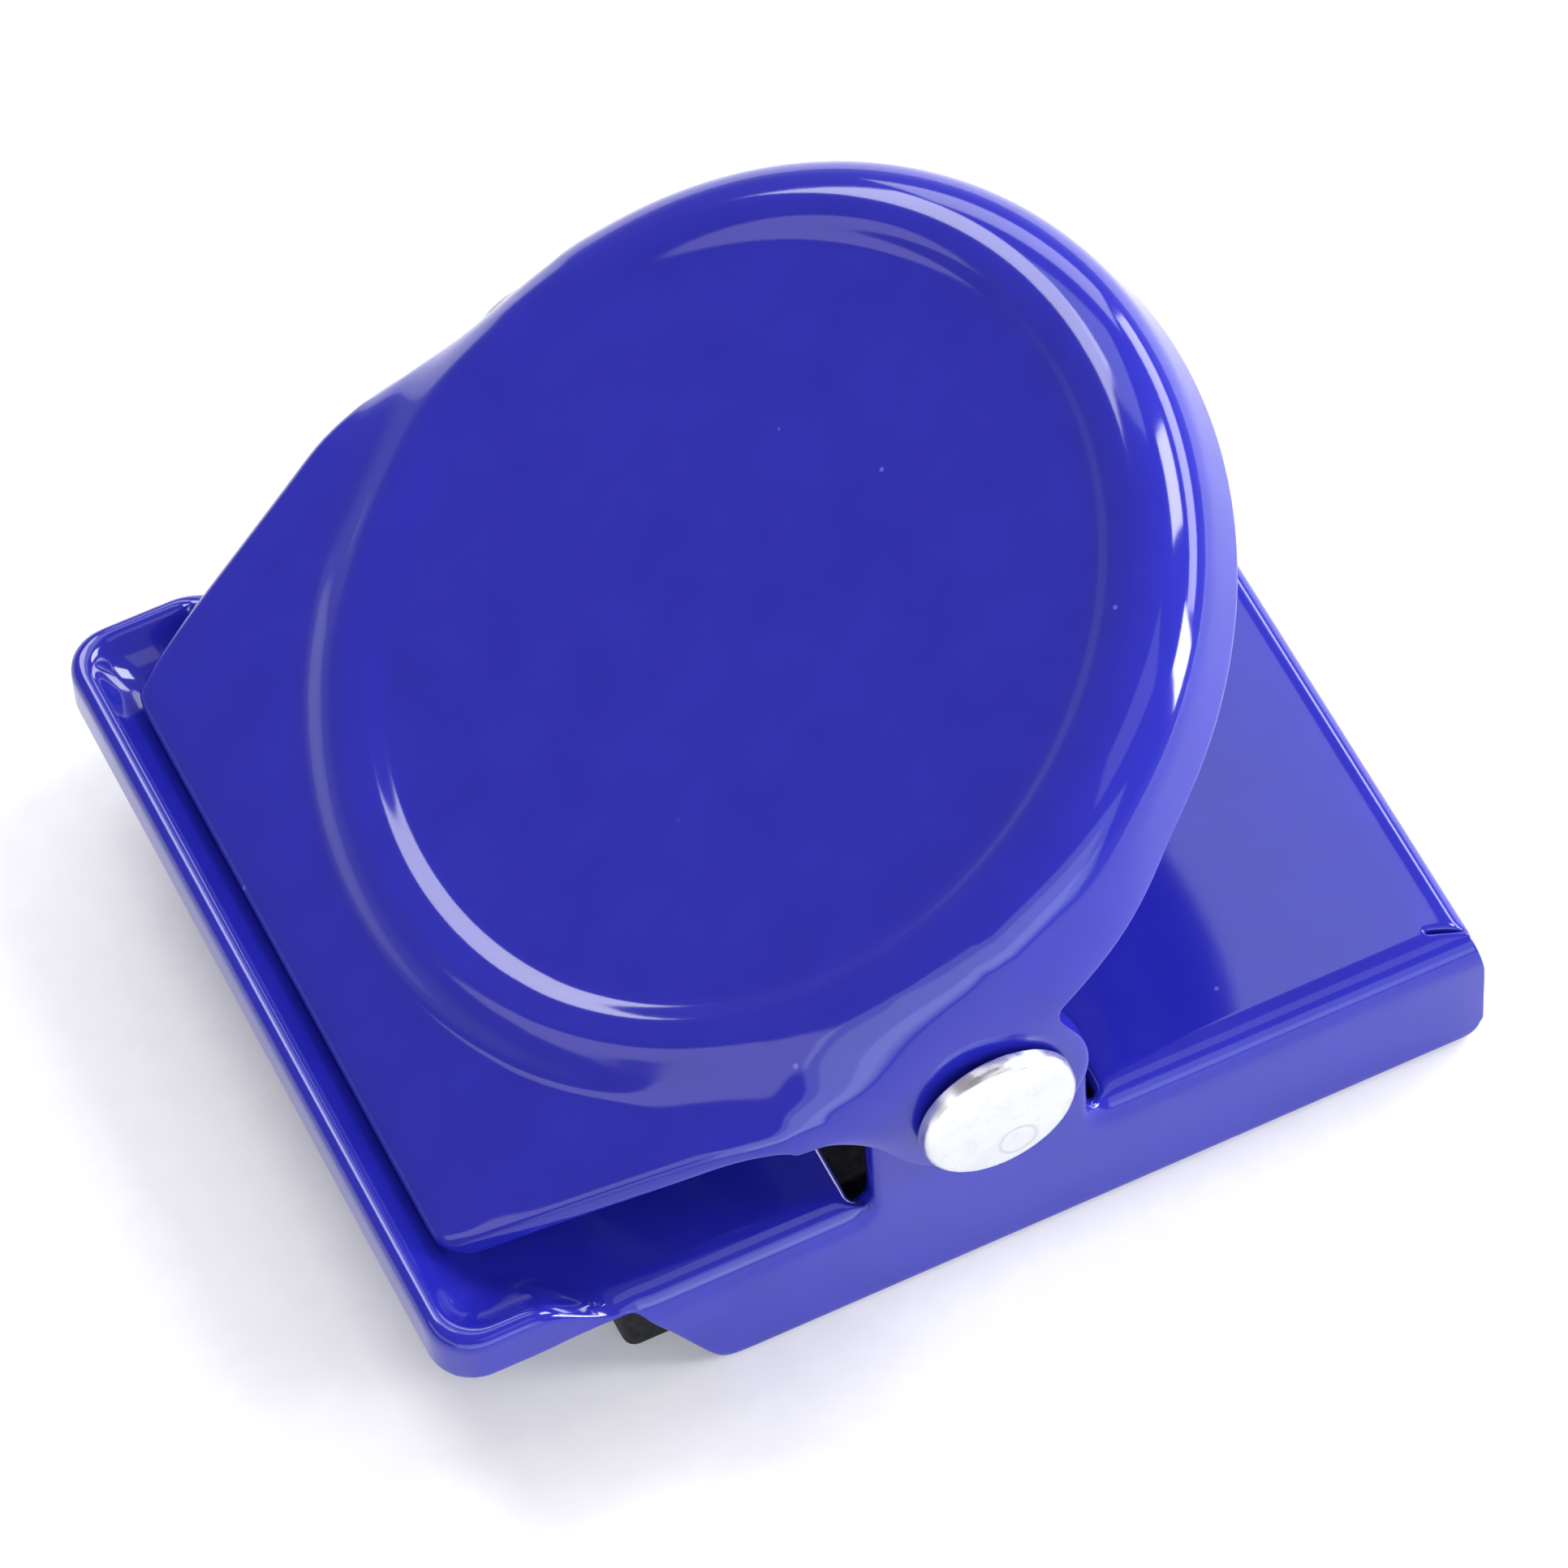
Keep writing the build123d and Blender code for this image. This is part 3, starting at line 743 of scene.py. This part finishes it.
def tray_place(column, row, half, inner=False):
    """The place of one crossing of the grid, for one half of the tray, turned towards +Y."""
    front = edge_rows - column
    side = row - len(plate_rows)
    if front > 0:
        return front_place(front, row, inner)
    rear = column - edge_rows - len(stations)
    stay = rear_edge - seam_setback * (1 - min(1.0, max(0, side - start_row) / fold_rows_down))
    if column == edge_rows:
        x = corner_x
    elif rear <= 0:
        x = stations[column - edge_rows - 1]
    else:
        x = seam_start + (stay - seam_start) * rear / rear_rows
    first = seam_slant * max(0.0, x - seam_start)
    if rear > 0 and side < start_row:
        out, up = fold_row(start_row + rear, rear_radius, 0.0, plate_top - wall_foot, inner)
        first = seam_slant * max(0.0, rear_bend + out - seam_start)
        y = plate_rows[row] if side < 0 else side_row(side, rear_bend + out, half, first)[0]
        return Vector((rear_bend + out, y, plate_top + up))
    if side < 0:
        return Vector((x, plate_rows[row], plate_top - (sheet if inner else 0.0)))
    out, up = side_row(side, x, half, first, inner)
    if window_row <= side <= wall_row and abs(x - pin.x) <= ear_half_width + 0.01:
        out = wall_half_width - (sheet if inner else 0.0)
        up = side_row(side, x, half)[1]
    return Vector((x, out, plate_top + up))


print("middle of the front edge, mm:", [round(c, 2) for c in tray_place(0, 0, 1)])

# %% [markdown]
# Now the flat grid is made and each of its crossings moves to its place. The faces in the windows go, and so
# do those along the two rear seams, where the side walls and the rear flange meet without being joined.

# %% Tray: bend the grid and cut the windows
tray = bmesh.new()
bmesh.ops.create_grid(tray, x_segments=columns_along, y_segments=2 * half_rows, size=1)
crossing = {}
for vert in tray.verts:
    column = round((vert.co.x + 1) / 2 * columns_along)
    row = round(vert.co.y * half_rows)
    crossing[vert] = (column, abs(row), 1 if row >= 0 else -1)
first_window = edge_rows + 1 + stations.index(window_front)
last_window = edge_rows + 1 + stations.index(window_rear)
first_seam = edge_rows + len(stations)
window_edge_row = len(plate_rows) + window_row
window_inner_row = plate_rows.index(window_inner)
inside = {}
for vert, (column, row, side) in crossing.items():
    flip = Vector((1, side, 1))
    vert.co = tray_place(column, row, side) * flip
    inside[vert] = tray_place(column, row, side, True) * flip
ear_edges = []
for edge in tray.edges:
    ends = [crossing[v] for v in edge.verts]
    if all(row == window_edge_row and first_window < column < last_window for column, row, side in ends):
        ear_edges.append(edge)
cut = []
for part in tray.faces:
    along = [crossing[v][0] for v in part.verts]
    across = [crossing[v][1] for v in part.verts]
    in_length = first_window <= min(along) and max(along) <= last_window
    in_window = in_length and window_inner_row <= min(across) and max(across) <= window_edge_row
    in_seam = min(along) >= first_seam and min(across) == len(plate_rows) + start_row - 1
    if in_window or in_seam:
        cut.append(part)
bmesh.ops.delete(tray, geom=cut, context="FACES_KEEP_BOUNDARY")
print("faces cut for the windows and the rear seams:", len(cut))

# %% [markdown]
# An ear is the wall's own sheet, left standing. A plate could be set on the wall, but extruding the wall's
# upper edge keeps them one sheet. Each step climbs a share of the way to the ear's sloping top.

# %% Tray: raise the ears
ear_foot = tray_place(first_window + 1, window_edge_row, 1).z
ear_shares = (0.25, 0.5, 0.75, 0.94, 1.0)


def ear_crown(x):
    """The height of an ear's upper edge: level at the top, sloping to the shoulders."""
    off = max(0.0, abs(x - pin.x) - ear_top_half_width) / (ear_half_width - ear_top_half_width)
    return ear_top_height + (ear_shoulder_height - ear_top_height) * off


for share in ear_shares:
    grown = bmesh.ops.extrude_edge_only(tray, edges=ear_edges)["geom"]
    raised = [g for g in grown if isinstance(g, bmesh.types.BMVert)]
    ear_edges = [g for g in grown if isinstance(g, bmesh.types.BMEdge) and all(v in raised for v in g.verts)]
    for vert in raised:
        vert.co.z = ear_foot + (ear_crown(vert.co.x) - ear_foot) * share
        inside[vert] = vert.co - Vector((0, math.copysign(sheet, vert.co.y), 0))
bmesh.ops.delete(tray, geom=[e for e in tray.edges if not e.link_faces], context="EDGES")
bmesh.ops.delete(tray, geom=[v for v in tray.verts if not v.link_faces], context="VERTS")
print("the ears stand over the floor by", round(ear_crown(pin.x), 2))

# %% [markdown]
# The inside of the sheet follows the outside with tighter bends. A solidify modifier would fold over itself
# in the bead, which is narrower than the sheet is thick, so the inside has places of its own.

# %% Tray: the inside of the sheet
def spot_key(spot):
    """A place as a key that survives rounding."""
    return tuple(round(c, 5) for c in spot)


behind = {spot_key(v.co): inside[v] for v in tray.verts}
grown = bmesh.ops.extrude_face_region(tray, geom=tray.faces[:], use_keep_orig=True)["geom"]
for vert in [g for g in grown if isinstance(g, bmesh.types.BMVert)]:
    vert.co = behind[spot_key(vert.co)]
bmesh.ops.recalc_face_normals(tray, faces=tray.faces)
bmesh.ops.scale(tray, vec=(MM, MM, MM), verts=tray.verts)
open_count = sum(len(e.link_faces) != 2 for e in tray.edges)
base = piece("base_tray", tray, "base", "blue_enamel", enamel, "base_plate")
soften(base)
print("faces of the tray:", len(base.data.polygons), "open edges:", open_count)

# %% [markdown]
# The rivet is the pin of the hinge: a bright zinc plated steel shank with a flat head, and a cap pressed on
# at the far side. Plating is a metal with a slightly uneven gloss. The riveting punch leaves a small round
# mark on the head, off its middle: a ring drawn by its distance from a point, because it is too shallow to
# need a mesh.

# %% Rivet: bright plating
mark_spot = (pin.x + 0.45, -16.62, pin.z - 1.35)
mark_range = 1.0
bright, tree, surface, place = shader("bright_rivet")
surface.inputs["Metallic"].default_value = 1
zinc = ramp(tree, noise(tree, place, 900, 3.0), (0.3, (0.74, 0.77, 0.78)), (0.6, (0.81, 0.83, 0.84)))
punch = tree.nodes.new("ShaderNodeVectorMath")
punch.operation = "DISTANCE"
punch.inputs[1].default_value = Vector(mark_spot) * MM
tree.links.new(place, punch.inputs[0])
ring_mark = tree.nodes.new("ShaderNodeMapRange")
ring_mark.inputs["From Max"].default_value = mark_range * MM
tree.links.new(punch.outputs["Value"], ring_mark.inputs["Value"])
ring_stops = ((0.52, grey(0.0)), (0.62, grey(1.0)), (0.72, grey(0.0)))
ring_depth = ramp(tree, ring_mark.outputs["Result"], *ring_stops)
tree.links.new(plain_mix(tree, ring_depth, zinc, (0.63, 0.65, 0.66)), surface.inputs["Base Color"])
gloss = ramp(tree, noise(tree, place, 1800, 4.0), (0.35, grey(0.24)), (0.65, grey(0.36)))
tree.links.new(gloss, surface.inputs["Roughness"])
bump(tree, surface, ring_depth, -0.02, 0.6)
bump(tree, surface, noise(tree, place, 3500, 2.0), 0.003, 0.15)
print("nodes in the plating:", len(tree.nodes))

# %% [markdown]
# Everything on the rivet is round about the pin. Cylinders could be joined and bevelled, but a profile that
# is spun about the pin gives each edge its own radius at once.

# %% Rivet: a spun profile
spin_steps = 64


def spun(profile):
    """A profile of radius and depth, from the pin's axis and back to it, spun about that axis."""
    turned = bmesh.new()
    spots = [turned.verts.new(((pin.x + radius) * MM, depth * MM, pin.z * MM)) for radius, depth in profile]
    line = spots + [turned.edges.new(pair) for pair in zip(spots, spots[1:])]
    bmesh.ops.spin(
        turned, geom=line, cent=pin * MM, axis=(0, 1, 0), angle=math.tau, steps=spin_steps, use_merge=True
    )
    bmesh.ops.remove_doubles(turned, verts=turned.verts, dist=1e-7)
    bmesh.ops.recalc_face_normals(turned, faces=turned.faces)
    return turned


def sharpen(thing, angle=32):
    """Smooth shading with crisp edges where faces meet at more than an angle."""
    crisp = bmesh.new()
    crisp.from_mesh(thing.data)
    for edge in crisp.edges:
        edge.smooth = edge.calc_face_angle(0.0) < math.radians(angle)
    crisp.to_mesh(thing.data)
    crisp.free()


print("steps in a full spin:", spin_steps)

# %% [markdown]
# Head and shank are one profile, because they are one piece of metal. The cap at the far side is a second
# one, a little rounder, with a hollow for the end of the shank.

# %% Rivet: head with shank, and cap
head_radius = 2.55
head_face = 16.68
head_seat = 16.02
head_edge = 0.36
seat_edge = 0.05
flat_radius = 1.2
shank_radius = 1.1
shank_end = 16.42
shank_edge = 0.15
cap_radius = 2.5
cap_edge = 0.5
cap_bore = 1.12
rim_arc = arc((head_radius - head_edge, head_face - head_edge), head_edge, 90, 0, 6)
cap_arc = arc((cap_radius - cap_edge, head_face - cap_edge), cap_edge, 90, 0, 8)
head_profile = [(0.0, -head_face), (flat_radius, -head_face)] + [(r, -depth) for r, depth in rim_arc]
head_profile += [(head_radius, -head_seat - seat_edge), (head_radius - seat_edge, -head_seat)]
head_profile += [(shank_radius, -head_seat), (shank_radius, shank_end - shank_edge)]
head_profile += [(shank_radius - shank_edge, shank_end), (0.0, shank_end)]
cap_profile = [(0.0, head_face), (flat_radius, head_face)] + cap_arc
cap_profile += [(cap_radius, head_seat + seat_edge), (cap_radius - seat_edge, head_seat)]
cap_profile += [(cap_bore, head_seat), (cap_bore, shank_end), (0.0, shank_end)]
rivet = piece("rivet", spun(head_profile), "base", "bright_rivet", bright, "pivot_rivet")
cap = piece("rivet_button", spun(cap_profile), "base", "bright_rivet", bright, "rivet_cap")
for thing in (rivet, cap):
    sharpen(thing)
print("faces of the rivet and its cap:", len(rivet.data.polygons), len(cap.data.polygons))

# %% [markdown]
# The spring is drawn steel wire. Drawing leaves a dull grey metal with a fine grain. Scratches could be
# modelled along the wire, but so little of it shows that noises are enough.

# %% Spring: drawn wire
wire_steel, tree, surface, place = shader("spring_wire")
surface.inputs["Metallic"].default_value = 1
draw_lines = ramp(tree, noise(tree, place, 5200, 5.0), (0.35, (0.36, 0.36, 0.37)), (0.65, (0.52, 0.52, 0.53)))
tree.links.new(draw_lines, surface.inputs["Base Color"])
wire_gloss = ramp(tree, noise(tree, place, 2400, 3.0), (0.3, grey(0.26)), (0.7, grey(0.42)))
tree.links.new(wire_gloss, surface.inputs["Roughness"])
bump(tree, surface, noise(tree, place, 7000, 2.0), 0.004, 0.12)
print("nodes in the wire's steel:", len(tree.nodes))

# %% [markdown]
# The wire is wound about 5.4 turns round the pin. One leg lies on the tray and the other under the dish.
# Rings could stand for the coils, but a real wire is one length, so its path is one line: a leg, a helix
# and a leg, which leave the helix along its tangents.

# %% Spring: the wire's path
coil_radius = 2.7
coil_pitch = 1.6
coil_turns = 5
lower_leg = (10.5, -3.9)
dish_leg = (9.5, 3.7)
tilt = math.radians(lever_tilt)
upper_leg = (
    dish_leg[0] * math.cos(tilt) - dish_leg[1] * math.sin(tilt),
    dish_leg[0] * math.sin(tilt) + dish_leg[1] * math.cos(tilt),
)


def leg(end, turn):
    """The angle at which a straight leg leaves the coil towards its end, and the leg's length."""
    far = math.hypot(*end)
    angle = math.atan2(end[1], end[0]) + turn * math.acos(coil_radius / far)
    return angle, math.sqrt(far * far - coil_radius * coil_radius)


start_angle, lower_length = leg(lower_leg, -1)
stop_angle, upper_length = leg(upper_leg, 1)
sweep = (stop_angle - start_angle) % math.tau - math.tau - math.tau * coil_turns
climb = coil_pitch / math.tau


def coil_spot(angle):
    """A point of the helix."""
    along = climb * sweep / 2 - climb * (angle - start_angle)
    return Vector((pin.x + coil_radius * math.cos(angle), along, pin.z + coil_radius * math.sin(angle)))


def coil_heading(angle):
    """The direction in which the wire runs along the helix."""
    return Vector((coil_radius * math.sin(angle), climb, -coil_radius * math.cos(angle))).normalized()


print("turns of the coil:", round(-sweep / math.tau, 2))

# %% [markdown]
# A curve with a round bevel sweeps the wire along its path, and becomes a mesh like the other pieces.

# %% Spring: sweep the wire
wire_radius = 0.55
coil_steps = 190
last_angle = start_angle + sweep
spots = [coil_spot(start_angle) - coil_heading(start_angle) * lower_length]
spots += [coil_spot(start_angle + sweep * i / coil_steps) for i in range(coil_steps + 1)]
spots += [coil_spot(last_angle) + coil_heading(last_angle) * upper_length]
line = bpy.data.curves.new("spring_line", "CURVE")
line.dimensions = "3D"
line.bevel_depth = wire_radius * MM
line.bevel_resolution = 3
line.use_fill_caps = True
run = line.splines.new("POLY")
run.points.add(len(spots) - 1)
for point, spot in zip(run.points, spots):
    point.co = (*(spot * MM), 1)
guide = bpy.data.objects.new("spring_line", line)
swept = bpy.data.meshes.new_from_object(guide)
wire = bmesh.new()
wire.from_mesh(swept)
bmesh.ops.remove_doubles(wire, verts=wire.verts, dist=1e-6)
bmesh.ops.recalc_face_normals(wire, faces=wire.faces)
bpy.data.objects.remove(guide)
bpy.data.meshes.remove(swept)
spring = piece("spring_wire_coil", wire, None, "spring_wire", wire_steel, "torsion_spring")
sharpen(spring, 50)
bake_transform(spring)
print("faces of the spring:", len(spring.data.polygons))

# %% [markdown]
# The magnet is a ground block of black ferrite, which shows in the windows beside the ears. Ferrite is a
# ceramic: matt, nearly black, with a fine grain and slightly worn edges. A cube with two bevels is enough,
# the upright edges first and then the level ones, which are less worn.

# %% Magnet
ferrite, tree, surface, place = shader("ferrite")
surface.inputs["Specular IOR Level"].default_value = 0.15
black, soot = (0.006, 0.006, 0.007), (0.020, 0.020, 0.021)
grain = ramp(tree, noise(tree, place, 4200, 4.0), (0.3, black), (0.7, soot))
tree.links.new(grain, surface.inputs["Base Color"])
matt = ramp(tree, noise(tree, place, 900, 3.0), (0.3, grey(0.45)), (0.7, grey(0.62)))
tree.links.new(matt, surface.inputs["Roughness"])
bump(tree, surface, noise(tree, place, 6000, 3.0), 0.02, 0.5)
magnet_low = Vector((-11.1, -13.3, 0.0))
magnet_high = Vector((16.3, 13.3, 4.2))
upright_wear, level_wear = 0.4, 0.15
block = bmesh.new()
bmesh.ops.create_cube(block, size=1)
bmesh.ops.scale(block, vec=(magnet_high - magnet_low) * MM, verts=block.verts)
bmesh.ops.translate(block, vec=(magnet_low + magnet_high) / 2 * MM, verts=block.verts)
upright = [e for e in block.edges if abs(e.verts[0].co.z - e.verts[1].co.z) > MM]
bmesh.ops.bevel(
    block, geom=upright, offset=upright_wear * MM, affect="EDGES", segments=4, profile=0.5, material=-1
)
level_edges = [e for e in block.edges if e.calc_face_angle(0.0) > math.radians(60)]
bmesh.ops.bevel(
    block, geom=level_edges, offset=level_wear * MM, affect="EDGES", segments=3, profile=0.5, material=-1
)
magnet = piece("magnet_block", block, "base", "ferrite", ferrite, "magnet")
sharpen(magnet)
print("faces of the magnet:", len(magnet.data.polygons))

# %% [markdown]
# A foam pad between the plate and the magnet holds it. It is hidden, so a new mesh would gain nothing: the
# CAD piece stays as it is and only gets a finish, which is pale, dull and full of small cells.

# %% Adhesive pad
foam, tree, surface, place = shader("adhesive")
cells = ramp(tree, noise(tree, place, 2600, 4.0), (0.35, (0.55, 0.54, 0.50)), (0.65, (0.74, 0.73, 0.69)))
tree.links.new(cells, surface.inputs["Base Color"])
surface.inputs["Roughness"].default_value = 0.85
bump(tree, surface, noise(tree, place, 2600, 4.0), 0.05, 0.6)
pad = frame["nodes"]["magnet_adhesive"]
pad.data.materials.clear()
pad.data.materials.append(foam)
print("nodes in the foam:", len(tree.nodes))

# %% [markdown]
# The floor is a plain white sheet. More light could turn it white, but that would also bleach the enamel.
# So the paper glows a little instead, for the camera and for what is mirrored, and keeps the clip's shadow.

# %% Floor
floor_half = 1500
glow_share = 0.12
floor_mesh = bmesh.new()
bmesh.ops.create_grid(floor_mesh, x_segments=1, y_segments=1, size=floor_half * MM)
floor_data = bpy.data.meshes.new("floor")
floor_mesh.to_mesh(floor_data)
floor_mesh.free()
floor = bpy.data.objects.new("floor", floor_data)
bpy.context.scene.collection.objects.link(floor)
paper, tree, surface, place = shader("floor_paper")
fibre = ramp(tree, noise(tree, place, 900, 4.0), (0.3, grey(0.79)), (0.7, grey(0.82)))
tree.links.new(fibre, surface.inputs["Base Color"])
surface.inputs["Roughness"].default_value = 0.9
floor_data.materials.append(paper)
seen = tree.nodes.new("ShaderNodeLightPath")
glow = tree.nodes.new("ShaderNodeEmission")
lift = tree.nodes.new("ShaderNodeMixShader")
rays = None
for ray in ("Is Camera Ray", "Is Glossy Ray", "Is Transmission Ray"):
    joined = tree.nodes.new("ShaderNodeMath")
    joined.operation = "MAXIMUM"
    tree.links.new(seen.outputs[ray], joined.inputs[0])
    if rays:
        tree.links.new(rays, joined.inputs[1])
    rays = joined.outputs["Value"]
part_glow = tree.nodes.new("ShaderNodeMath")
part_glow.operation = "MULTIPLY"
part_glow.inputs[1].default_value = glow_share
tree.links.new(rays, part_glow.inputs[0])
tree.links.new(part_glow.outputs["Value"], lift.inputs["Fac"])
tree.links.new(surface.outputs["BSDF"], lift.inputs[1])
tree.links.new(glow.outputs["Emission"], lift.inputs[2])
tree.links.new(lift.outputs["Shader"], tree.nodes["Material Output"].inputs["Surface"])
print("nodes in the floor's paper:", len(tree.nodes))

# %% [markdown]
# Gloss shows the shape of whatever lights it. Spot lights would leave small hard glints on the enamel, so
# the light comes from soft boxes. Their places and strengths were chosen by comparing renders with the
# photograph, so they are not a record of the real room.

# %% Light
cool = (0.86, 0.98, 1.06)


def soft_box(name, direction, distance, width, height, brightness, tint=(1, 1, 1)):
    """A rectangular area light that faces the clip from a direction. A brightness of 1 is white paper."""
    data = bpy.data.lights.new(name, "AREA")
    data.color = tint
    data.shape = "RECTANGLE"
    data.size = width * MM
    data.size_y = height * MM
    data.energy = brightness * math.pi * data.size * data.size_y
    lamp = bpy.data.objects.new(name, data)
    bpy.context.scene.collection.objects.link(lamp)
    away = Vector(direction).normalized()
    lamp.location = away * distance * MM
    lamp.rotation_euler = (-away).to_track_quat("-Z", "Y").to_euler()
    return lamp


boxes = [
    soft_box("window", (-0.09, 0.66, 0.74), 420, 140, 250, 8.0),
    soft_box("panel", (0.22, 0.47, 0.86), 420, 170, 150, 2.0, (0.88, 0.95, 1.05)),
    soft_box("rear", (0.42, 0.75, 0.48), 420, 300, 120, 4.0),
    soft_box("overhead", (0.14, -0.42, 0.89), 420, 190, 150, 0.9),
    soft_box("right", (0.90, 0.10, 0.40), 420, 420, 110, 8.0),
    soft_box("key", (0.80, -0.48, 0.36), 420, 90, 170, 24),
    soft_box("side", (0.66, 0.05, 0.75), 420, 130, 130, 14),
    soft_box("left", (-0.866, -0.03, 0.50), 420, 400, 120, 1.6, (1.0, 0.95, 1.0)),
    soft_box("front", (-0.30, -0.87, 0.38), 420, 640, 300, 1.3, cool),
    soft_box("front_core", (-0.30, -0.87, 0.36), 410, 480, 190, 1.1, cool),
    soft_box("front_low", (-0.10, -0.94, 0.20), 400, 400, 90, 1.2, cool),
]
print("soft boxes:", len(boxes))

# %% [markdown]
# Between the boxes the enamel mirrors the room. A plain background would flatten it, so the sky is a dim grey
# that is paler near the floor.

# %% Sky
world = bpy.data.worlds.new("studio")
bpy.context.scene.world = world
world.use_nodes = True
tree = world.node_tree
background = tree.nodes["Background"]
heading = tree.nodes.new("ShaderNodeTexCoord")
split_heading = tree.nodes.new("ShaderNodeSeparateXYZ")
tree.links.new(heading.outputs["Generated"], split_heading.inputs["Vector"])
sky = ramp(tree, split_heading.outputs["Z"], (0.02, grey(0.6)), (0.15, (0.37, 0.32, 0.36)))
tree.links.new(sky, background.inputs["Color"])
print("nodes in the sky:", len(tree.nodes))
